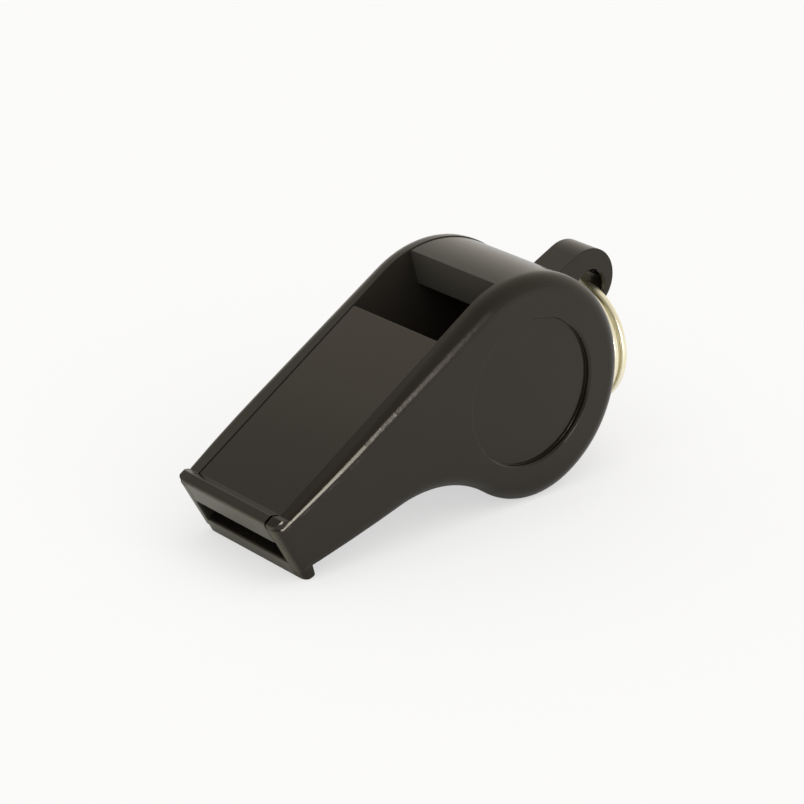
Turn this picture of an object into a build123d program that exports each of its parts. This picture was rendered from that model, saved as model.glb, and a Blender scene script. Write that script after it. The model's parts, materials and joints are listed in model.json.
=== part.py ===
from build123d import *
import os
from math import acos, asin, atan2, cos, degrees, dist, hypot, pi, radians, sin, sqrt

os.makedirs("parts", exist_ok=True)

# A moulded pea whistle, lying on the heel of its drum and its lower bite lip.
# Outlines are drawn in the whistle's own side view: u runs from the mouth to the rear along the
# roof, w stands square to the roof, and both are measured from the drum's axis.

# Moulding, in millimetres and degrees
body_width = 18.6  # across the two side plates
plate_thickness = 2.3
mouth_taper = 0.65  # each plate's outer face draws in by this much towards the mouth end
rim_radius = 13.05  # side plates round the drum
rim_step = 0.1  # plates stand this far proud of the drum band and the roof
drum_wall = 4.25  # from the band in to the chamber, seen as the window's rear face
mouth_reach = 32.1  # from the drum axis to the mouth end
mouth_height = 6.4  # from the roof line to the underside, at the mouth end
front_lean = 4.0  # the mouth end leans forward towards its lower lip
underside_drop = 3.66  # the straight underside's distance from the drum axis
throat_radius = 14.0  # hollow curve from the underside into the heel
heel_share = 0.81  # radius of the heel under the drum, against the rim's
heel_angle = 262.0  # the rim passes into the heel in this direction from the drum axis
mouth_round = 0.45  # outer edge of a plate along the mouthpiece, at the mouth
front_round = 1.2  # outer edge of a plate down the mouth end
drum_round = 1.75  # outer edge of a plate round the drum

# Roof insert, windway and bite lips
window_lead = 5.1  # the roof ends this far ahead of the drum axis
window_trail = 4.0  # the window's rear edge lies this far behind it
roof_mouth = 2.12  # roof thickness at the mouth
roof_exit = 1.3  # roof thickness at the window
lip_thickness = 0.9  # windway floor at the mouth
windway_exit = 1.4  # height of the air slit at the window
floor_setback = 0.2  # the windway floor ends this far before the roof
seam_gap = 0.06  # between the roof and each plate
tongue_depth = 0.7  # roof tongue inside a plate's groove
tongue_thickness = 0.5
tongue_drop = 0.4  # from the roof's top down to its tongue
tongue_inset = 1.2  # from the roof's ends to its tongue's
tongue_play = 0.1
top_lip_proud = 0.7  # upper bite lip above the roof
low_lip_proud = 1.25  # lower bite lip below the underside
top_lip_flat = 1.23  # crest of the upper lip, from the mouth end to its ramp
top_lip_nose = 0.37  # round of that crest at the mouth end
top_lip_back = 0.2  # round of that crest at its ramp
low_lip_width = 1.25
low_lip_round = 0.5
lip_end_round = 0.45  # a lip rounds off towards the plates' outer faces
lip_inset = 0.06  # the lips' ends lie this far inside those faces
lip_gap = 0.35  # between the roof and the cover at the mouth end

# Side faces and the cover's seat
recess_land = 4.75  # from the rim in to the round recess
recess_depth = 0.6
recess_edge = 0.2
spigot_height = 0.8  # ring on the cover that centres it in the chamber
spigot_wall = 0.8
spigot_play = 0.1

# Lug, split ring and pea
lug_angle = -6.9  # direction of the lug from the drum axis, against the roof line
lug_thickness = 4.15
lug_wall = 0.8  # under the lug's hole
hole_drop = 1.0  # the hole lies this far under the lug's middle
lug_root = 1.5  # the lug runs this far into the drum band
lug_round = 0.45
hole_edge = 0.25
ring_radius = 7.1  # outside of the split ring
wire_width = 1.25  # radial
wire_thickness = 0.8  # along the ring's axis
wire_corner = 0.2
turn_gap = 0.42  # between the ring's two turns
ring_gap = 1.0  # the hanging ring clears the drum's rim by this
ring_play = 0.65  # between the turns and the lug's hole, all round
ring_seat_share = 0.85  # how much of that play the ring hangs down
crossing_angle = 48.0  # the wire crosses from one turn to the other over this angle
wire_end_angle = 2.0  # a wire end stops this far past the crossing
crossing_steps = 6
taper_steps = 4
pea_radius = 4.1
pea_clearance = 0.25  # between the resting pea and the chamber wall

overrun = 1.0  # every cut runs this far past what it cuts

# Worked-out sizes of the moulding
half_width = body_width / 2
inner_half = half_width - plate_thickness
band_radius = rim_radius - rim_step
chamber_radius = band_radius - drum_wall
recess_radius = rim_radius - recess_land
lean_sin = sin(radians(front_lean))
lean_cos = cos(radians(front_lean))

mouth_low = rim_radius - mouth_height
slope = atan2(mouth_low, mouth_reach) + asin(underside_drop / hypot(mouth_reach, mouth_low))
slope_sin = sin(slope)
slope_cos = cos(slope)

# Heel: touches the rim from inside
heel_radius = heel_share * rim_radius
heel_u = (rim_radius - heel_radius) * cos(radians(heel_angle))
heel_w = (rim_radius - heel_radius) * sin(radians(heel_angle))

# Throat curve: touches the underside and the heel
throat_drop = underside_drop + heel_u * slope_sin + heel_w * slope_cos + throat_radius
throat_run = sqrt((heel_radius + throat_radius) ** 2 - throat_drop**2)
throat_u = heel_u - slope_sin * throat_drop - slope_cos * throat_run
throat_w = heel_w - slope_cos * throat_drop + slope_sin * throat_run
throat_end_u = throat_u + slope_sin * throat_radius
throat_start = degrees(atan2(heel_w - throat_w, heel_u - throat_u))
throat_sweep = 90 - degrees(slope) - throat_start
rim_sweep = 450 - heel_angle
heel_sweep = heel_angle - 180 - throat_start

# Plan curve of a plate's outer face, from the throat's end to the mouth end
taper_run = mouth_reach + throat_end_u
taper_radius = (taper_run**2 + mouth_taper**2) / (2 * mouth_taper)

window_angle = degrees(acos(window_trail / band_radius))
floor_end = window_lead + floor_setback
floor_angle = degrees(acos(-floor_end / chamber_radius))
floor_exit = band_radius - roof_exit - windway_exit


def front(w):
    """u of the mouth end at height w."""
    return -mouth_reach - (rim_radius - w) * lean_sin / lean_cos


def side_reach(u):
    """Half the width over the plates' outer faces at u."""
    return half_width - taper_radius + sqrt(taper_radius**2 - max(throat_end_u - u, 0) ** 2)


def underside(u, inset=0.0):
    """w of the straight underside at u, moved into the body by inset."""
    return -(underside_drop - inset + u * slope_sin) / slope_cos


def low_lip_corner(inset):
    """The lower lip's front corner, or the point this far inside both of its sides there."""
    foot = (mouth_reach + rim_radius * lean_sin / lean_cos - inset / lean_cos) * slope_sin
    w = (foot - low_lip_level + inset) / (slope_cos + slope_sin * lean_sin / lean_cos)
    return front(w) + inset / lean_cos, w


# Bite lips: raised edges along the top and the bottom of the mouth end
top_lip_level = band_radius + top_lip_proud
low_lip_level = underside_drop + low_lip_proud
nose_w = top_lip_level - top_lip_nose
nose_u = front(nose_w) + top_lip_nose / lean_cos

# Resting pitch: one floor line touches the lower lip and the heel
foot_u, foot_w = low_lip_corner(low_lip_round)
foot_run = heel_u - foot_u
foot_rise = foot_w - heel_w
pitch = acos((low_lip_round - heel_radius) / hypot(foot_run, foot_rise)) - atan2(foot_run, foot_rise)
pitch_sin = sin(pitch)
pitch_cos = cos(pitch)
axis_height = heel_radius - heel_u * pitch_sin - heel_w * pitch_cos

# Lug and the ring's seat in its hole
stack = 2 * wire_thickness + turn_gap
ring_inner = ring_radius - wire_width
wire_middle = ring_radius - wire_width / 2
ring_sag = ring_inner - sqrt(ring_inner**2 - (lug_thickness / 2) ** 2)
hole_radius = hypot(stack / 2, (wire_width + ring_sag) / 2) + ring_play
lug_radius = hole_radius + hole_drop + lug_wall
lug_sin = sin(radians(lug_angle))
lug_cos = cos(radians(lug_angle))
lug_rise = pitch + radians(lug_angle)
hole_x = rim_radius + ring_gap + stack / 2
lug_reach = (hole_x - hole_drop * sin(lug_rise)) / cos(lug_rise)
hole_u = lug_reach * lug_cos + hole_drop * lug_sin
hole_w = lug_reach * lug_sin - hole_drop * lug_cos
ring_drop = ring_inner + (wire_width - ring_sag) / 2 + ring_seat_share * ring_play

# The origin lies on the floor, midway between the upper lip's front and the lug's end
front_x = nose_u * pitch_cos - nose_w * pitch_sin - top_lip_nose
rear_x = lug_reach * cos(lug_rise) + lug_radius
axis_x = -(front_x + rear_x) / 2


def heading(u, w):
    """A side-view direction as it stands on the floor."""
    return Vector(u * pitch_cos - w * pitch_sin, 0, u * pitch_sin + w * pitch_cos)


def place(u, w, y=0.0):
    """A side-view point as it stands on the floor."""
    return Vector(axis_x, y, axis_height) + heading(u, w)


side_view = Plane(origin=place(0, 0), x_dir=heading(1, 0), z_dir=(0, -1, 0))
near_seam = side_view.offset(inner_half)
plan_view = Plane(origin=place(0, 0), x_dir=heading(1, 0), z_dir=heading(0, 1))
mouth_along = heading(lean_cos, -lean_sin)
mouth_up = heading(lean_sin, lean_cos)
mouth_plan = Plane(origin=place(front(rim_radius), rim_radius), x_dir=mouth_along, z_dir=mouth_up)
lug_view = Plane(origin=place(0, 0), x_dir=heading(lug_cos, lug_sin), z_dir=(0, -1, 0))


def edge_section(point, outward, radius):
    """What a round of this radius takes off the near plate's outer edge, in cross-section."""
    slant = radius * (1 - sin(pi / 4))
    near = Vector(0, -1, 0)
    with BuildSketch(Plane(origin=point, x_dir=outward, z_dir=outward.cross(near))) as section:
        with BuildLine():
            ThreePointArc((0, -radius), (-slant, -slant), (-radius, 0))
            Polyline((-radius, 0), (-radius, overrun), (overrun, overrun), (overrun, -radius), (0, -radius))
        make_face()
    return section.sketch


def top_lip(view, foot, root):
    """Side view of the upper bite lip on a surface at height foot, reaching down into it by root."""
    back_u = front(top_lip_level) + top_lip_flat
    ramp_u = back_u + top_lip_level - foot
    with BuildSketch(view) as lip:
        with BuildLine():
            Polyline(
                (front(foot - root), foot - root),
                (front(top_lip_level), top_lip_level),
                (back_u, top_lip_level),
                (ramp_u, foot),
                (ramp_u, foot - root),
                close=True,
            )
        make_face()
        fillet(lip.vertices().sort_by_distance((front(top_lip_level), top_lip_level))[0], top_lip_nose)
        fillet(lip.vertices().sort_by_distance((back_u, top_lip_level))[0], top_lip_back)
    return lip.sketch


def low_lip(view, root):
    """Side view of the lower bite lip under the mouthpiece, reaching up into it by root."""
    nose = low_lip_corner(0)
    back = (nose[0] + low_lip_width * slope_cos, nose[1] - low_lip_width * slope_sin)
    rise = low_lip_proud + root
    with BuildSketch(view) as lip:
        with BuildLine():
            Polyline(
                (front(nose[1] + rise), nose[1] + rise),
                nose,
                back,
                (back[0] + rise * slope_sin, back[1] + rise * slope_cos),
                close=True,
            )
        make_face()
        fillet(lip.vertices().sort_by_distance(nose)[0], low_lip_round)
        fillet(lip.vertices().sort_by_distance(back)[0], low_lip_round)
    return lip.sketch


def lip_end(lip, out, level):
    """End of a bite lip on the near plate, rounded off at its outer end and at the mouth."""
    near = Vector(0, -1, 0)
    reach = side_reach(front(rim_radius)) - lip_inset
    span = body_width / 2
    with BuildPart() as end:
        extrude(lip, amount=plate_thickness)
        with BuildSketch(mouth_plan):
            with Locations((lip_inset + span / 2, span / 2 - reach)):
                RectangleRounded(span, span, front_round)
        extrude(amount=rim_radius, both=True, mode=Mode.INTERSECT)
        with BuildSketch(Plane(origin=place(0, 0), x_dir=near, z_dir=near.cross(out))):
            with Locations((reach - span / 2, level + lip_inset - span / 2)):
                RectangleRounded(span, span, lip_end_round)
        extrude(amount=2 * mouth_reach, both=True, mode=Mode.INTERSECT)
    return end.part


def tongue_outline(play):
    """Side view of the roof's tongue, or of its groove when play is added."""
    length = mouth_reach - window_lead - 2 * tongue_inset
    with BuildSketch(side_view) as outline:
        with Locations((-(mouth_reach + window_lead) / 2, band_radius - tongue_drop - tongue_thickness / 2)):
            Rectangle(length + 2 * play, tongue_thickness + 2 * play)
    return outline.sketch


# Side plate, on the near side: the same moulding closes both sides
toe_u = front(mouth_low)
tip_u = toe_u - overrun
roof_out = heading(0, 1)
floor_out = heading(-slope_sin, -slope_cos)
heel_out = heading(cos(radians(heel_angle)), sin(radians(heel_angle)))
top_end = lip_end(top_lip(near_seam, rim_radius, roof_mouth), roof_out, top_lip_level)
low_end = lip_end(low_lip(near_seam, lip_thickness), floor_out, low_lip_level)


def widening(u, full_u):
    """Round of a plate's outer edge at u: tight at the mouth, full from full_u on."""
    return mouth_round + (drum_round - mouth_round) * (u - tip_u) / (full_u - tip_u)


stations = [tip_u + (throat_end_u - tip_u) * i / taper_steps for i in range(taper_steps + 1)]
roof_edges = [
    edge_section(place(u, rim_radius, -side_reach(u)), roof_out, widening(u, 0))
    for u in stations + [0]
]
floor_edges = [
    edge_section(place(u, underside(u), -side_reach(u)), floor_out, widening(u, throat_end_u))
    for u in stations
]
heel_edge = edge_section(place(0, 0, -half_width) + heel_out * rim_radius, heel_out, drum_round)
drum_axis = Axis(place(0, 0), (0, 1, 0))
heel_axis = Axis(place(heel_u, heel_w), (0, 1, 0))
throat_axis = Axis(place(throat_u, throat_w), (0, 1, 0))

with BuildPart() as plate:
    with BuildSketch(near_seam):
        with BuildLine():
            Polyline(
                (throat_end_u, underside(throat_end_u)),
                (toe_u, underside(toe_u)),
                (front(rim_radius), rim_radius),
                (0, rim_radius),
            )
            CenterArc((0, 0), rim_radius, 90, -rim_sweep)
            CenterArc((heel_u, heel_w), heel_radius, heel_angle, -heel_sweep)
            CenterArc((throat_u, throat_w), throat_radius, throat_start, throat_sweep)
        make_face()
    extrude(amount=plate_thickness + overrun)
    # In plan the outer face is flat past the drum and throat, then curves in towards the mouth end
    with BuildSketch(plan_view):
        with BuildLine():
            ThreePointArc(*[(u, -side_reach(u)) for u in (tip_u, (tip_u + throat_end_u) / 2, throat_end_u)])
            Polyline(
                (throat_end_u, -half_width),
                (rim_radius + overrun, -half_width),
                (rim_radius + overrun, -inner_half),
                (tip_u, -inner_half),
                (tip_u, -side_reach(tip_u)),
            )
        make_face()
    extrude(amount=rim_radius + overrun, both=True, mode=Mode.INTERSECT)
    front_corner = place(toe_u, (mouth_low + rim_radius) / 2, -side_reach(toe_u))
    fillet(plate.edges().sort_by_distance(front_corner)[0], front_round)
    # The outer edge is tight at the mouth and widens towards the drum
    loft(roof_edges, ruled=True, mode=Mode.SUBTRACT)
    revolve(roof_edges[-1], axis=drum_axis, revolution_arc=rim_sweep, mode=Mode.SUBTRACT)
    revolve(heel_edge, axis=heel_axis, revolution_arc=heel_sweep, mode=Mode.SUBTRACT)
    revolve(floor_edges[-1], axis=throat_axis, revolution_arc=throat_sweep, mode=Mode.SUBTRACT)
    loft(floor_edges, ruled=True, mode=Mode.SUBTRACT)
    add(top_end)
    add(low_end)
    with BuildSketch(side_view.offset(half_width)):
        Circle(recess_radius)
    extrude(amount=-recess_depth, mode=Mode.SUBTRACT)
    chamfer(plate.edges(Select.LAST).sort_by(Axis.Y)[0], recess_edge)
    extrude(tongue_outline(tongue_play), amount=inner_half + tongue_depth + tongue_play, mode=Mode.SUBTRACT)

with BuildPart() as side_cover:
    add(plate.part)
    with BuildSketch(near_seam):
        Circle(chamber_radius - spigot_play)
        Circle(chamber_radius - spigot_play - spigot_wall, mode=Mode.SUBTRACT)
    extrude(amount=-spigot_height)

# Lug: a rounded tab with the ring's hole across it
with BuildPart() as lug:
    lug_start = band_radius - lug_root
    with BuildSketch(lug_view):
        with Locations((lug_reach, 0)):
            Circle(lug_radius)
        with Locations(((lug_reach + lug_start) / 2, 0)):
            Rectangle(lug_reach - lug_start, 2 * lug_radius)
    extrude(amount=lug_thickness / 2, both=True)
    fillet(lug.edges().filter_by(Plane.XZ), lug_round)
    with BuildSketch(lug_view):
        with Locations((lug_reach, -hole_drop)):
            Circle(hole_radius)
    extrude(amount=lug_thickness, both=True, mode=Mode.SUBTRACT)
    chamfer(lug.edges(Select.LAST).filter_by(GeomType.CIRCLE), hole_edge)

# Body shell: far plate, drum band, windway floor, lower lip and lug in one moulding
with BuildPart() as body_shell:
    lip_u = front(mouth_low)
    lip_w = underside(lip_u, rim_step)
    slot_w = underside(lip_u) + lip_thickness
    inner_throat = throat_radius + rim_step
    with BuildSketch(side_view):
        with BuildLine():
            CenterArc((0, 0), band_radius, window_angle, heel_angle - 360 - window_angle)
            CenterArc((heel_u, heel_w), heel_radius - rim_step, heel_angle, -heel_sweep)
            CenterArc((throat_u, throat_w), inner_throat, throat_start, throat_sweep)
            Polyline(
                (throat_u + slope_sin * inner_throat, throat_w + slope_cos * inner_throat),
                (front(lip_w), lip_w),
                (front(slot_w), slot_w),
                (-floor_end, floor_exit),
                (-floor_end, chamber_radius * sin(radians(floor_angle))),
            )
            CenterArc((0, 0), chamber_radius, floor_angle, 360 + window_angle - floor_angle)
            Line(
                (chamber_radius * cos(radians(window_angle)), chamber_radius * sin(radians(window_angle))),
                (window_trail, band_radius * sin(radians(window_angle))),
            )
        make_face()
    extrude(amount=inner_half, both=True)
    extrude(low_lip(side_view, lip_thickness / 2), amount=inner_half, both=True)
    mirror(plate.part, about=Plane.XZ)
    add(lug.part)

# Mouthpiece roof: slides between the plates, its tongues in their grooves
with BuildPart() as mouthpiece_roof:
    with BuildSketch(side_view):
        with BuildLine():
            Polyline(
                (front(band_radius - roof_mouth), band_radius - roof_mouth),
                (front(band_radius), band_radius),
                (-window_lead, band_radius),
                (-window_lead, band_radius - roof_exit),
                close=True,
            )
        make_face()
    extrude(amount=inner_half - seam_gap, both=True)
    front_line = Axis(place(0, 0), heading(lean_sin, lean_cos))
    near_edge = mouthpiece_roof.edges().filter_by(front_line).sort_by(Axis.Y)[0]
    chamfer(near_edge, lip_gap - seam_gap)
    roof_lip = top_lip(side_view, band_radius, roof_mouth / 2)
    extrude(roof_lip, amount=inner_half - lip_gap)
    extrude(roof_lip, amount=seam_gap - inner_half)
    extrude(tongue_outline(0), amount=inner_half + tongue_depth, both=True)

# Cork pea, resting in the lowest part of the chamber
pea_orbit = chamber_radius - pea_radius - pea_clearance
with BuildPart() as pea:
    with Locations(place(0, 0) - Vector(0, 0, pea_orbit)):
        Sphere(pea_radius)

# Split ring: two flat turns of one wire, joined where the wire crosses over
ring_centre = place(hole_u, hole_w) - Vector(0, 0, ring_drop)
ring_axis = Axis(ring_centre, (1, 0, 0))
turn_level = (wire_thickness + turn_gap) / 2
half_crossing = crossing_angle / 2
turn_sweep = 360 - crossing_angle - wire_end_angle


def crossing_level(angle):
    """The wire's place along the ring's axis inside the crossing, eased at both ends."""
    return -turn_level * cos(pi * (angle + half_crossing) / crossing_angle)


def wire_section(angle, level):
    """Cross-section of the wire at an angle round the ring."""
    radial = Vector(0, cos(radians(angle)), sin(radians(angle)))
    along = Vector(0, -sin(radians(angle)), cos(radians(angle)))
    middle = ring_centre + radial * wire_middle + Vector(level, 0, 0)
    with BuildSketch(Plane(origin=middle, x_dir=radial, z_dir=along)) as section:
        Rectangle(wire_width, wire_thickness)
        chamfer(section.vertices(), wire_corner)
    return section.sketch


crossing_angles = [crossing_angle * i / crossing_steps - half_crossing for i in range(crossing_steps + 1)]
with BuildPart() as split_ring:
    first_start = wire_section(half_crossing + wire_end_angle, -turn_level)
    revolve(first_start, axis=ring_axis, revolution_arc=turn_sweep)
    loft([wire_section(angle, crossing_level(angle)) for angle in crossing_angles])
    second_start = wire_section(half_crossing, turn_level)
    revolve(second_start, axis=ring_axis, revolution_arc=turn_sweep)


def wire_point(turned):
    """Middle of the wire after turning this far from its first end."""
    angle = half_crossing + wire_end_angle + turned
    if turned <= turn_sweep:
        level = -turn_level
    elif turned < turn_sweep + crossing_angle:
        level = crossing_level(turned - turn_sweep - half_crossing)
    else:
        level = turn_level
    return (level, wire_middle * cos(radians(angle)), wire_middle * sin(radians(angle)))


wire_turned = 2 * turn_sweep + crossing_angle
wire_points = [wire_point(turned) for turned in range(int(wire_turned) + 1)]
least_gap = min(
    dist(wire_points[i], wire_points[j]) - wire_thickness
    for i in range(len(wire_points))
    for j in range(i + 180, len(wire_points))
)
print(f"split ring: least gap between its turns {least_gap:.3f} mm")
print(f"resting pitch {degrees(pitch):.2f} deg, underside slope {degrees(slope):.2f} deg")

side_cover.part.label = "side_cover"
body_shell.part.label = "body_shell"
mouthpiece_roof.part.label = "mouthpiece_roof"
pea.part.label = "pea"
split_ring.part.label = "split_ring"
export_step(side_cover.part, "parts/side_cover.step")
export_step(body_shell.part, "parts/body_shell.step")
export_step(mouthpiece_roof.part, "parts/mouthpiece_roof.step")
export_step(pea.part, "parts/pea.step")
export_step(split_ring.part, "parts/split_ring.step")
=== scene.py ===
import json
from math import cos, pi, radians, sin

import bmesh
import bpy
from mathutils import Matrix, Vector, noise


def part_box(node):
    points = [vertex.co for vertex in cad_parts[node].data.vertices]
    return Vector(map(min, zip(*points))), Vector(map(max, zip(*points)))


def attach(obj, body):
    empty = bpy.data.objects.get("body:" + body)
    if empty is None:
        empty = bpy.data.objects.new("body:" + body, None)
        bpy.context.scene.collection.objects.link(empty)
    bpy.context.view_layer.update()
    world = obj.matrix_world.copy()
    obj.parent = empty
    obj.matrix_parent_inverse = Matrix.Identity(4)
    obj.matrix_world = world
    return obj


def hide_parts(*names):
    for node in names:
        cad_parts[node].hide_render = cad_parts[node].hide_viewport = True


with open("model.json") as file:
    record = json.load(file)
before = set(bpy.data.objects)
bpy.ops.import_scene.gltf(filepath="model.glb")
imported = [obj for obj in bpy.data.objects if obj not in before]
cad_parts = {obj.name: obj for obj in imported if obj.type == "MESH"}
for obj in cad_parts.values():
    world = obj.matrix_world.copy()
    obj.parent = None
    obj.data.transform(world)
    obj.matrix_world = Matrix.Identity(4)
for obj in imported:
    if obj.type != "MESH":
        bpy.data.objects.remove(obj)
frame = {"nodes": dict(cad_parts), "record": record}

# A black plastic pea whistle on a white table, in soft studio light.

MM = 0.001
nodes = frame["nodes"]

for startup in ("Cube", "Light", "Camera"):
    if startup in bpy.data.objects:
        bpy.data.objects.remove(bpy.data.objects[startup])
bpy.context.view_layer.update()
joints = {joint["name"]: joint for joint in frame["record"]["behaviour"]["joints"]}
drum_axis = Vector(joints["pea_orbit"]["pos_m"])

# Colour sockets of a Mix node
FIRST = 6
SECOND = 7
MIXED = 2

# Most values of a noise texture lie between these
noise_low = 0.3
noise_high = 0.7

# Split ring, as in the solid model, in millimetres and degrees
wire_width = 1.25
wire_thickness = 0.8
turn_gap = 0.42
crossing_angle = 48.0
wire_end_angle = 2.0

# Its wire, smoother than in the solid model
wire_round = 0.26  # the solid model's corners are cut straight
end_round = 0.12  # the sheared wire ends are tumbled smooth
ring_step = 2.0  # degrees between stations along the wire
corner_steps = 5  # round each corner of the wire

# Nickel plate, in millimetres
tarnish_size = 2.5
pit_size = 0.25  # drawn coarser than the plate's real pits, so that they show
pit_depth = 0.01

# Cork pea, in millimetres
cork_grain = 1.1  # size of a cork granule
rough_size = cork_grain / 2
fibres_per_grain = 4
fibre_height = 0.05
cork_pit = 0.16  # the surface's whole depth
pore_part = 0.7  # of that depth is the open pores', and the next is the roughness's
rough_part = 0.3
pore_width = 0.8
pore_length = 2.0
pore_share = 0.28  # noise above this opens a pore
pore_edge = 0.25  # and this much more opens it fully
pea_divisions = 6

# Camera: the photograph's viewing angle, in degrees and millimetres
camera_azimuth = -39.376
camera_elevation = 23.024
camera_roll = -0.76
camera_distance = 323.1
camera_target = Vector((-1.712, 0.96, 11.19))
camera_lens = 134.62
sensor_width = 36.0
clip_near = 10.0

# Studio, in millimetres and degrees
table_size = 4000.0
shadow_share = 0.4  # how much of the shadow on the table the camera sees
sky_light = 0.6
sun_light = 0.42
sun_spread = 100.0
sun_azimuth = -20.0
sun_elevation = 60.0
sun_distance = 800.0
strip_power = 1.73  # watts
strip_azimuth = 0.0
strip_elevation = 14.0
strip_distance = 600.0
strip_roll = 31.6
strip_width = 105.0
strip_length = 350.0
bright_shine = 1.0  # what the gloss shows of the surround on its bright side and on its dim one
dim_shine = 0.42
dim_side = Vector((-0.8, -0.5, 0.33))  # towards the room behind the camera, overhead and to the left
dim_start = -0.7  # cosines of the angle to that side, between which the surround dims
dim_end = 0.75

# Drum and mouthpiece, as in the solid model, in millimetres
band_radius = 12.95
chamber_radius = 8.7
inner_half = 7.0  # from the middle to a plate's inner face
mouth_distance = 32.93  # from the drum's axis to the mouth end
mouth_lean = radians(28.54)  # the mouth end faces this far below level
mouth_out = Vector((-cos(mouth_lean), 0, -sin(mouth_lean)))
roof_pitch = radians(32.54)
roof_up = Vector((-sin(roof_pitch), 0, cos(roof_pitch)))
roof_along = Vector((cos(roof_pitch), 0, sin(roof_pitch)))
face_slack = 0.03  # a point this near a face counts as on it
width_slack = 0.02  # and one must be this far inside a plate's inner face to lie between the plates

# Moulded finish, in millimetres
grain_size = 0.3  # drawn coarser than the tool's real grain, so that it shows
grain_height = 0.012
flow_size = 9.0
speck_spacing = 5.5
speck_radius = 0.1
speck_core = 0.6  # share of a speck's radius that is fully covered
edge_bevel = 0.1
bevel_samples = 12
# The mouth end: worn dull, and painted paler as painted light for its brighter reflection
wear_and_paint_depth = 0.3
wear_and_paint_patch = 0.9
least_wear_and_paint = 0.5  # the wear and its painted light go from this to 1, in patches
edge_fall = 0.33  # for each millimetre past the seam, at the mouth
fall_start = -32.0  # along the roof from the drum's axis, as the next three are
fall_end = 1.0
# The roof's painted reflection: full at the first, faded out at the second
painted_reflection_full = -4.0
painted_reflection_gone = -30.0

# Roughness of the moulded finish
best_polish = 0.15
least_polish = 0.21
core_roughness = 0.5
rub_roughness = 0.2  # added where the mouth end is worn dull
speck_roughness = 0.5  # added by a speck of dust


def colour(code):
    """Linear colour of an sRGB hex value."""
    parts = [int(code[i : i + 2], 16) / 255 for i in (1, 3, 5)]
    return (*[p / 12.92 if p <= 0.04045 else ((p + 0.055) / 1.055) ** 2.4 for p in parts], 1.0)


def node(tree, kind, inputs=None, **settings):
    """Adds a node with its settings, and sets or links its inputs."""
    made = tree.nodes.new(kind)
    for name, value in settings.items():
        setattr(made, name, value)
    for key, value in (inputs or {}).items():
        if isinstance(value, bpy.types.NodeSocket):
            tree.links.new(value, made.inputs[key])
        else:
            made.inputs[key].default_value = value
    return made


def new_material(name):
    """An empty node material and its tree."""
    made = bpy.data.materials.new(name)
    made.use_nodes = True
    made.node_tree.nodes.clear()
    return made, made.node_tree


def place_in_mm(tree):
    """A point's place on its object in millimetres, so that patterns have their real size."""
    where = node(tree, "ShaderNodeTexCoord")
    mm = node(tree, "ShaderNodeVectorMath", {0: where.outputs["Object"], "Scale": 1 / MM}, operation="SCALE")
    return mm.outputs[0]


def core_faces(tree, from_axis, width, between_plates):
    """Masks of the faces that came off the mould's core: the window's rear face, and the plates' inner
    faces with the chamber's wall."""
    flat = node(tree, "ShaderNodeVectorMath", {0: from_axis, 1: (1, 0, 1)}, operation="MULTIPLY")
    radius = node(tree, "ShaderNodeVectorMath", {0: flat.outputs[0]}, operation="LENGTH")
    wall_middle = (band_radius + chamber_radius) / 2
    wall_half = (band_radius - chamber_radius) / 2
    in_wall = node(
        tree,
        "ShaderNodeMath",
        {0: radius.outputs["Value"], 1: wall_middle, 2: wall_half - face_slack},
        operation="COMPARE",
    )
    rear_face = node(tree, "ShaderNodeMath", {0: in_wall.outputs[0], 1: between_plates}, operation="MULTIPLY")
    plate_face = node(tree, "ShaderNodeMath", {0: width, 1: inner_half, 2: face_slack}, operation="COMPARE")
    on_chamber = node(
        tree,
        "ShaderNodeMath",
        {0: radius.outputs["Value"], 1: chamber_radius, 2: face_slack},
        operation="COMPARE",
    )
    chamber_wall = node(
        tree, "ShaderNodeMath", {0: on_chamber.outputs[0], 1: between_plates}, operation="MULTIPLY"
    )
    inner_face = node(
        tree, "ShaderNodeMath", {0: plate_face.outputs[0], 1: chamber_wall.outputs[0]}, operation="MAXIMUM"
    )
    return rear_face.outputs[0], inner_face.outputs[0]


def roof_with_painted_reflection(tree, from_axis, reach, between_plates):
    """Mask and colour of the roof, painted paler towards the window as a painted reflection."""
    height = node(tree, "ShaderNodeVectorMath", {0: from_axis, 1: roof_up}, operation="DOT_PRODUCT")
    at_top = node(
        tree,
        "ShaderNodeMath",
        {0: height.outputs["Value"], 1: band_radius - face_slack},
        operation="GREATER_THAN",
    )
    on_roof = node(tree, "ShaderNodeMath", {0: at_top.outputs[0], 1: between_plates}, operation="MULTIPLY")
    painted_reflection_rise = node(
        tree,
        "ShaderNodeMapRange",
        {"Value": reach, "From Min": painted_reflection_gone, "From Max": painted_reflection_full},
        interpolation_type="SMOOTHSTEP",
    )
    roof_painted_reflection = node(
        tree,
        "ShaderNodeMix",
        {"Factor": painted_reflection_rise.outputs[0], FIRST: colour("#080705"), SECOND: colour("#28251F")},
        data_type="RGBA",
    )
    return on_roof.outputs[0], roof_painted_reflection.outputs[MIXED]


def worn_and_painted_mouth(tree, mm, from_axis):
    """Mask of the mouth end in patches, worn dull and painted paler as painted light."""
    towards_mouth = node(tree, "ShaderNodeVectorMath", {0: from_axis, 1: mouth_out}, operation="DOT_PRODUCT")
    at_mouth = node(
        tree,
        "ShaderNodeMapRange",
        {
            "Value": towards_mouth.outputs["Value"],
            "From Min": mouth_distance - wear_and_paint_depth,
            "From Max": mouth_distance,
        },
    )
    patch_noise = node(tree, "ShaderNodeTexNoise", {"Vector": mm, "Scale": 1 / wear_and_paint_patch, "Detail": 3})
    patchy = node(tree, "ShaderNodeMapRange", {"Value": patch_noise.outputs[0], "To Min": least_wear_and_paint, "To Max": 1.0})
    worn_and_painted_pale = node(
        tree, "ShaderNodeMath", {0: at_mouth.outputs[0], 1: patchy.outputs[0]}, operation="MULTIPLY"
    )
    return worn_and_painted_pale.outputs[0]


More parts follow.
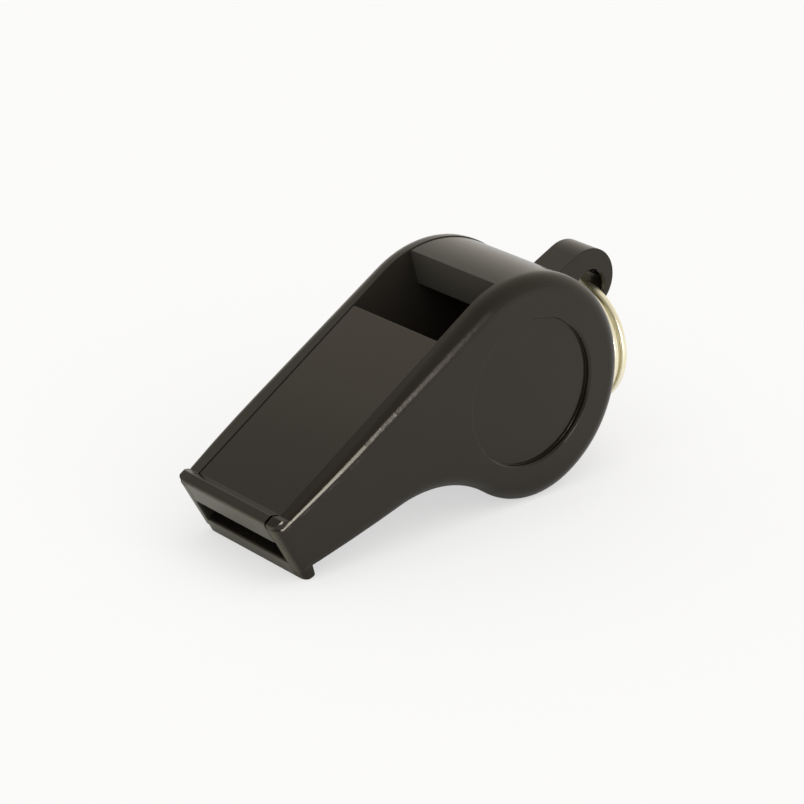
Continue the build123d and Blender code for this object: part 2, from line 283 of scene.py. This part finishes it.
def moulded_relief(tree, mm, across, reach):
    """Normals of the mouldings: softened edges, a fall of the cover's edge away from its seam along the
    mouthpiece, where that moulding has shrunk, and the tool's grain."""
    soft_edge = node(tree, "ShaderNodeBevel", {"Radius": edge_bevel * MM}, samples=bevel_samples)
    from_seam = node(tree, "ShaderNodeMath", {0: across, 1: inner_half}, operation="ADD")
    past_seam = node(tree, "ShaderNodeMath", {0: from_seam.outputs[0], 1: 0.0}, operation="MINIMUM")
    by_mouthpiece = node(
        tree, "ShaderNodeMapRange", {"Value": reach, "From Min": fall_end, "From Max": fall_start}
    )
    fallen = node(
        tree, "ShaderNodeMath", {0: past_seam.outputs[0], 1: by_mouthpiece.outputs[0]}, operation="MULTIPLY"
    )
    fall = node(
        tree,
        "ShaderNodeBump",
        {
            "Height": fallen.outputs[0],
            "Strength": 1.0,
            "Distance": edge_fall * MM,
            "Normal": soft_edge.outputs[0],
        },
    )
    grain = node(tree, "ShaderNodeTexNoise", {"Vector": mm, "Scale": 1 / grain_size, "Detail": 3})
    bump = node(
        tree,
        "ShaderNodeBump",
        {
            "Height": grain.outputs[0],
            "Strength": 0.08,
            "Distance": grain_height * MM,
            "Normal": fall.outputs[0],
        },
    )
    return bump.outputs[0]


def moulded_abs():
    """Black ABS, injection-moulded in a polished tool: a hard even gloss over a warm black, with a faint
    grain left by the tool and a few pale specks of dust. The faces off the unpolished core are matt, the
    plates' inner faces a little paler, and the window's rear face painted pale as painted light.
    The roof is painted paler towards the window as a painted reflection, and the mouth end is worn
    dull and painted a little paler as painted light."""
    made, tree = new_material("moulded_black_abs")
    mm = place_in_mm(tree)
    offset = node(tree, "ShaderNodeVectorMath", {0: mm, 1: drum_axis / MM}, operation="SUBTRACT")
    from_axis = offset.outputs[0]
    parts = node(tree, "ShaderNodeSeparateXYZ", {0: from_axis})
    across = parts.outputs["Y"]
    width = node(tree, "ShaderNodeMath", {0: across}, operation="ABSOLUTE")
    between_plates = node(
        tree, "ShaderNodeMath", {0: width.outputs[0], 1: inner_half - width_slack}, operation="LESS_THAN"
    )
    along = node(tree, "ShaderNodeVectorMath", {0: from_axis, 1: roof_along}, operation="DOT_PRODUCT")
    reach = along.outputs["Value"]
    rear_face, inner_face = core_faces(tree, from_axis, width.outputs[0], between_plates.outputs[0])
    on_roof, roof_painted_reflection = roof_with_painted_reflection(tree, from_axis, reach, between_plates.outputs[0])
    worn_and_painted_pale = worn_and_painted_mouth(tree, mm, from_axis)
    specks = node(tree, "ShaderNodeTexVoronoi", {"Vector": mm, "Scale": 1 / speck_spacing})
    speck = node(
        tree,
        "ShaderNodeMapRange",
        {
            "Value": specks.outputs["Distance"],
            "From Min": speck_core * speck_radius / speck_spacing,
            "From Max": speck_radius / speck_spacing,
            "To Min": 1,
            "To Max": 0,
        },
    )
    flow = node(tree, "ShaderNodeTexNoise", {"Vector": mm, "Scale": 1 / flow_size, "Detail": 4})
    shade = node(
        tree,
        "ShaderNodeMix",
        {"Factor": flow.outputs[0], FIRST: colour("#120F0C"), SECOND: colour("#1A1713")},
        data_type="RGBA",
    )
    # Painted light: the rear face's pale tone, the roof's rise to the window and the mouth end's paler tone
    layers = (
        (inner_face, colour("#2D2A25")),
        (rear_face, colour("#47443E")),
        (on_roof, roof_painted_reflection),
        (worn_and_painted_pale, colour("#565445")),
        (speck.outputs[0], colour("#8F897C")),
    )
    for mask, tone in layers:
        shade = node(
            tree,
            "ShaderNodeMix",
            {"Factor": mask, FIRST: shade.outputs[MIXED], SECOND: tone},
            data_type="RGBA",
        )
    roughness = node(
        tree,
        "ShaderNodeMapRange",
        {
            "Value": flow.outputs[0],
            "From Min": noise_low,
            "From Max": noise_high,
            "To Min": best_polish,
            "To Max": least_polish,
        },
    )
    off_core = node(tree, "ShaderNodeMath", {0: rear_face, 1: inner_face}, operation="MAXIMUM")
    roughness = node(
        tree,
        "ShaderNodeMapRange",
        {"Value": off_core.outputs[0], "To Min": roughness.outputs[0], "To Max": core_roughness},
    )
    for mask, added in ((worn_and_painted_pale, rub_roughness), (speck.outputs[0], speck_roughness)):
        roughness = node(
            tree, "ShaderNodeMath", {0: mask, 1: added, 2: roughness.outputs[0]}, operation="MULTIPLY_ADD"
        )
    shader = node(
        tree,
        "ShaderNodeBsdfPrincipled",
        {
            "Base Color": shade.outputs[MIXED],
            "Roughness": roughness.outputs[0],
            "IOR": 1.45,
            "Specular Tint": colour("#FFF6E6"),
            "Normal": moulded_relief(tree, mm, across, reach),
        },
    )
    node(tree, "ShaderNodeOutputMaterial", {"Surface": shader.outputs[0]})
    return made


def ground_cork():
    """Natural cork, ground to a ball: mottled tan with short dark pores along the grain, dry and matt."""
    made, tree = new_material("ground_cork")
    mm = place_in_mm(tree)
    granules = node(tree, "ShaderNodeTexVoronoi", {"Vector": mm, "Scale": 1 / cork_grain})
    pores = node(tree, "ShaderNodeAttribute", attribute_name="pore")
    fibre_scale = fibres_per_grain / cork_grain
    fibre = node(tree, "ShaderNodeTexNoise", {"Vector": mm, "Scale": fibre_scale, "Detail": 4})
    tan = node(
        tree,
        "ShaderNodeMix",
        {"Factor": granules.outputs["Color"], FIRST: colour("#C0915D"), SECOND: colour("#D6B080")},
        data_type="RGBA",
    )
    toned = node(
        tree,
        "ShaderNodeMix",
        {"Factor": pores.outputs["Fac"], FIRST: tan.outputs[MIXED], SECOND: colour("#6E4A29")},
        data_type="RGBA",
    )
    bump = node(
        tree, "ShaderNodeBump", {"Height": fibre.outputs[0], "Strength": 0.4, "Distance": fibre_height * MM}
    )
    shader = node(
        tree,
        "ShaderNodeBsdfPrincipled",
        {"Base Color": toned.outputs[MIXED], "Roughness": 0.85, "IOR": 1.4, "Normal": bump.outputs[0]},
    )
    node(tree, "ShaderNodeOutputMaterial", {"Surface": shader.outputs[0]})
    return made


def nickel_plate():
    """Spring steel wire, drawn, wound and nickel-plated: a pale warm metal with a soft shine, fine pits
    that cloud the reflections and a little tarnish."""
    made, tree = new_material("nickel_plated_wire")
    mm = place_in_mm(tree)
    tarnish = node(tree, "ShaderNodeTexNoise", {"Vector": mm, "Scale": 1 / tarnish_size, "Detail": 5})
    pits = node(tree, "ShaderNodeTexNoise", {"Vector": mm, "Scale": 1 / pit_size, "Detail": 2})
    tone = node(
        tree,
        "ShaderNodeMix",
        {"Factor": tarnish.outputs[0], FIRST: colour("#FDF9E4"), SECOND: colour("#F6EECF")},
        data_type="RGBA",
    )
    sheen = node(
        tree,
        "ShaderNodeMapRange",
        {
            "Value": tarnish.outputs[0],
            "From Min": noise_low,
            "From Max": noise_high,
            "To Min": 0.3,
            "To Max": 0.42,
        },
    )
    bump = node(
        tree, "ShaderNodeBump", {"Height": pits.outputs[0], "Strength": 0.1, "Distance": pit_depth * MM}
    )
    shader = node(
        tree,
        "ShaderNodeBsdfPrincipled",
        {
            "Base Color": tone.outputs[MIXED],
            "Metallic": 1.0,
            "Roughness": sheen.outputs[0],
            "Normal": bump.outputs[0],
        },
    )
    node(tree, "ShaderNodeOutputMaterial", {"Surface": shader.outputs[0]})
    return made


def white_table():
    """Matt white laminate: even and pale, so that it goes to white and keeps a soft shadow."""
    made, tree = new_material("white_laminate")
    board = node(
        tree, "ShaderNodeBsdfPrincipled", {"Base Color": colour("#FAF9F6"), "Roughness": 0.7, "IOR": 1.3}
    )
    white = node(tree, "ShaderNodeEmission", {"Color": colour("#FFFFFF"), "Strength": 1.0})
    path = node(tree, "ShaderNodeLightPath")
    share = node(
        tree, "ShaderNodeMath", {0: path.outputs["Is Camera Ray"], 1: 1 - shadow_share}, operation="MULTIPLY"
    )
    shader = node(
        tree, "ShaderNodeMixShader", {0: share.outputs[0], 1: board.outputs[0], 2: white.outputs[0]}
    )
    node(tree, "ShaderNodeOutputMaterial", {"Surface": shader.outputs[0]})
    return made


def add_piece(name, mesh_builder, material):
    """A new object from a bmesh, in metres, shaded smooth."""
    mesh = bpy.data.meshes.new(name)
    mesh_builder.to_mesh(mesh)
    mesh_builder.free()
    made = bpy.data.objects.new(name, mesh)
    bpy.context.scene.collection.objects.link(made)
    made.data.materials.append(material)
    mesh.shade_smooth()
    return made


def wire_outline(inset=0.0):
    """Cross-section of the wire, radial by axial, as points round its rounded corners."""
    half = Vector((wire_width / 2 - inset, wire_thickness / 2 - inset))
    points = []
    for quarter, (sx, sy) in enumerate(((1, 1), (-1, 1), (-1, -1), (1, -1))):
        for i in range(corner_steps + 1):
            turn = pi / 2 * (quarter + i / corner_steps)
            corner = Vector((sx * (half.x - wire_round), sy * (half.y - wire_round)))
            points.append(corner + wire_round * Vector((cos(turn), sin(turn))))
    return points


def build_ring():
    """The split ring: one wire in two turns, which crosses from one level to the other."""
    low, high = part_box("split_ring")
    centre = (low + high) / 2
    middle_radius = (high.y - low.y) / 2 / MM - wire_width / 2
    turn_level = (wire_thickness + turn_gap) / 2
    turn_sweep = 360 - crossing_angle - wire_end_angle
    whole = 2 * turn_sweep + crossing_angle
    mesh = bmesh.new()

    def level(turned):
        """Place along the ring's axis after turning this far from the first end."""
        if turned <= turn_sweep:
            return -turn_level
        if turned >= turn_sweep + crossing_angle:
            return turn_level
        return -turn_level * cos(pi * (turned - turn_sweep) / crossing_angle)

    def station(turned, inset=0.0):
        """One section of the wire, as a ring of vertices."""
        angle = radians(crossing_angle / 2 + wire_end_angle + turned)
        made = []
        for point in wire_outline(inset):
            radius = middle_radius + point.x
            x = level(turned) + point.y
            made.append(mesh.verts.new(centre + MM * Vector((x, radius * cos(angle), radius * sin(angle)))))
        return made

    end_turn = end_round / middle_radius * 180 / pi
    count = round((whole - 2 * end_turn) / ring_step)
    stations = [station(0, end_round)]
    stations += [station(end_turn + (whole - 2 * end_turn) * i / count) for i in range(count + 1)]
    stations.append(station(whole, end_round))
    for first, second in zip(stations, stations[1:]):
        for i in range(len(first)):
            j = (i + 1) % len(first)
            mesh.faces.new((first[i], first[j], second[j], second[i]))
    mesh.faces.new(stations[0])
    mesh.faces.new(stations[-1])
    bmesh.ops.recalc_face_normals(mesh, faces=mesh.faces)
    ring = add_piece("split_ring_wire", mesh, nickel_plate())
    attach(ring, "ring")
    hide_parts("split_ring")
    return ring


def build_pea():
    """The cork ball, with pores in its surface, inside the solid model's ball."""
    low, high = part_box("pea")
    centre = (low + high) / 2
    radius = (high.x - low.x) / 2
    mesh = bmesh.new()
    pore = mesh.verts.layers.float.new("pore")
    bmesh.ops.create_icosphere(mesh, subdivisions=pea_divisions, radius=1.0)
    for vert in mesh.verts:
        spot = vert.co * radius / MM
        along_grain = Vector((spot.x / pore_width, spot.y / pore_width, spot.z / pore_length))
        vert[pore] = min(1.0, max(0.0, noise.noise(along_grain) - pore_share) / pore_edge)
        rough = (1 + noise.noise(spot / rough_size)) / 2
        vert.co = centre + vert.co * (radius - cork_pit * MM * (pore_part * vert[pore] + rough_part * rough))
    pea = add_piece("cork_pea", mesh, ground_cork())
    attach(pea, "pea")
    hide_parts("pea")


def dress_mouldings():
    """The three mouldings keep their solids and take the moulded finish."""
    finish = moulded_abs()
    for name in ("body_shell", "side_cover", "mouthpiece_roof"):
        slots = nodes[name].data.materials
        slots.clear()
        slots.append(finish)


def build_table():
    """The white table under the whistle."""
    mesh = bmesh.new()
    bmesh.ops.create_grid(mesh, x_segments=1, y_segments=1, size=table_size / 2 * MM)
    add_piece("white_table", mesh, white_table())


def aim(thing, azimuth, elevation, distance, target, roll=0.0):
    """Sets a lamp or camera round a target, all in degrees and millimetres. Azimuth 0 looks along +Y."""
    around = radians(azimuth)
    rise = radians(elevation)
    back = Vector((sin(around) * cos(rise), -cos(around) * cos(rise), sin(rise)))
    thing.location = (target + back * distance) * MM
    turn = (-back).to_track_quat("-Z", "Y").to_matrix() @ Matrix.Rotation(radians(roll), 3, "Z")
    thing.rotation_euler = turn.to_euler()


def add_lamp(name, kind, azimuth, elevation, distance, energy, roll=0.0, **settings):
    """A white lamp aimed at the middle of the whistle."""
    lamp = bpy.data.lights.new(name, kind)
    lamp.energy = energy
    for key, value in settings.items():
        setattr(lamp, key, value)
    made = bpy.data.objects.new(name, lamp)
    bpy.context.scene.collection.objects.link(made)
    aim(made, azimuth, elevation, distance, camera_target, roll)
    return made


def build_lamps(ring):
    """One broad soft sun, and a strip that draws the light line on the near edge."""
    sun = add_lamp(
        "soft_sun",
        "SUN",
        sun_azimuth,
        sun_elevation,
        sun_distance,
        sun_light * pi,
        angle=radians(sun_spread),
    )
    sun.visible_glossy = False
    strip = add_lamp(
        "edge_strip",
        "AREA",
        strip_azimuth,
        strip_elevation,
        strip_distance,
        strip_power,
        roll=strip_roll,
        shape="RECTANGLE",
        size=strip_width * MM,
        size_y=strip_length * MM,
    )
    strip.visible_diffuse = False
    # It lights only the cover and the ring: elsewhere it would glare at low angles
    strip_lit = bpy.data.collections.new("strip_lit")
    strip_lit.objects.link(nodes["side_cover"])
    strip_lit.objects.link(ring)
    strip.light_linking.receiver_collection = strip_lit


def build_surround():
    """A white surround that the gloss sees a little warmer, and dimmer towards the room."""
    world = bpy.data.worlds.new("white_surround")
    bpy.context.scene.world = world
    world.use_nodes = True
    tree = world.node_tree
    tree.nodes.clear()
    path = node(tree, "ShaderNodeLightPath")
    glossy = node(
        tree,
        "ShaderNodeMath",
        {0: path.outputs["Is Glossy Ray"], 1: path.outputs["Is Transmission Ray"]},
        operation="MAXIMUM",
    )
    where = node(tree, "ShaderNodeTexCoord")
    dimness = node(
        tree,
        "ShaderNodeVectorMath",
        {0: where.outputs["Generated"], 1: dim_side.normalized()},
        operation="DOT_PRODUCT",
    )
    shine = node(
        tree,
        "ShaderNodeMapRange",
        {
            "Value": dimness.outputs["Value"],
            "From Min": dim_start,
            "From Max": dim_end,
            "To Min": bright_shine,
            "To Max": dim_shine,
        },
    )
    lit = node(
        tree,
        "ShaderNodeMapRange",
        {"Value": glossy.outputs[0], "To Min": sky_light, "To Max": shine.outputs[0]},
    )
    strength = node(
        tree,
        "ShaderNodeMapRange",
        {"Value": path.outputs["Is Camera Ray"], "To Min": lit.outputs[0], "To Max": 1.0},
    )
    tint = node(
        tree,
        "ShaderNodeMix",
        {"Factor": glossy.outputs[0], FIRST: colour("#FFFFFF"), SECOND: colour("#FFF9EE")},
        data_type="RGBA",
    )
    surround = node(
        tree, "ShaderNodeBackground", {"Color": tint.outputs[MIXED], "Strength": strength.outputs[0]}
    )
    node(tree, "ShaderNodeOutputWorld", {"Surface": surround.outputs[0]})


def build_camera():
    """The camera at the photograph's viewing angle."""
    lens = bpy.data.cameras.new("camera")
    lens.lens = camera_lens
    lens.sensor_width = sensor_width
    lens.clip_start = clip_near * MM
    lens.clip_end = 2 * table_size * MM
    camera = bpy.data.objects.new("camera", lens)
    bpy.context.scene.collection.objects.link(camera)
    aim(camera, camera_azimuth, camera_elevation, camera_distance, camera_target, camera_roll)
    bpy.context.scene.camera = camera


dress_mouldings()
split_ring_wire = build_ring()
build_pea()
build_table()
build_lamps(split_ring_wire)
build_surround()
build_camera()
bpy.context.scene.view_settings.view_transform = "Standard"
